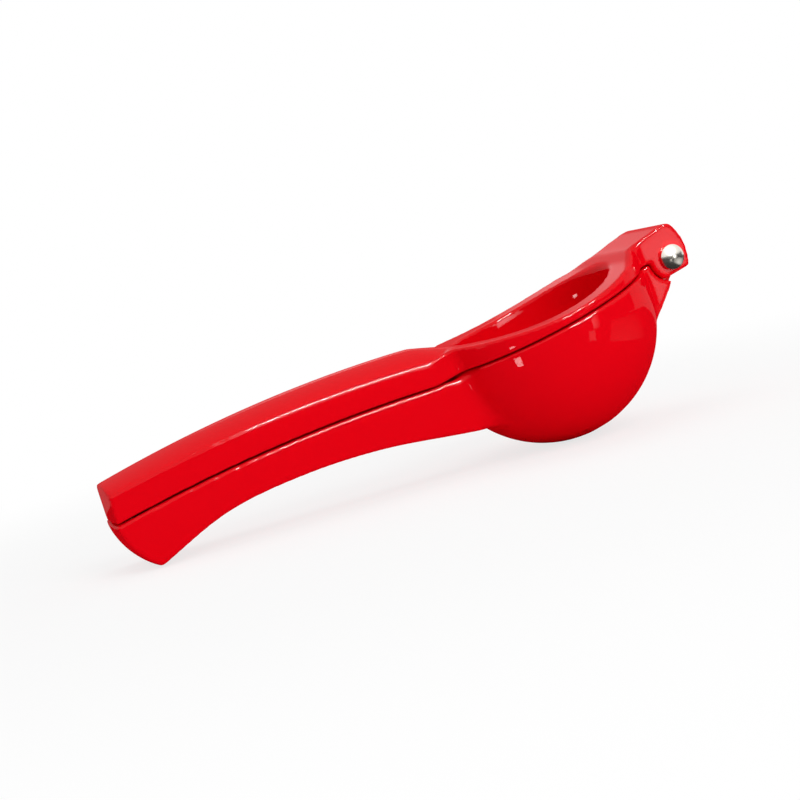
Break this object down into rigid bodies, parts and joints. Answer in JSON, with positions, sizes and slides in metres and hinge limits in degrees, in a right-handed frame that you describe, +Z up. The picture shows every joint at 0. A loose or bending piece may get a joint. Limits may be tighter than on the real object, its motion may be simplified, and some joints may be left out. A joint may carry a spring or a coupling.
{
  "type": "hinged lemon squeezer",
  "caption": "Hand citrus press: a round cup folds on a hinge pin into a drilled bowl, and closing two long handles presses the juice out of half a lemon.",
  "frame": {"origin": "centre of the object's box on the surface it stands on", "axes": "+X along the object from the handle ends to the hinge, +Y across it along the hinge pin, +Z up, as it stands on its bowl and on the end of its lower handle"},
  "size_m": [0.204, 0.0752, 0.0615],
  "materials": {
    "enamel": "high gloss red enamel on cast aluminium",
    "rivet_steel": "polished steel"
  },
  "bodies": {
    "lower": {"lower_lever": "enamel"},
    "upper": {"upper_lever": "enamel", "hinge_rivet": "rivet_steel", "rivet_cap": "rivet_steel"}
  },
  "joints": [
    {"name": "hinge", "type": "hinge", "parent": "lower", "child": "upper", "pos_m": [0.0955, 0, 0.05036], "axis": [0, 1, 0], "range_deg": [0, 140]}
  ]
}
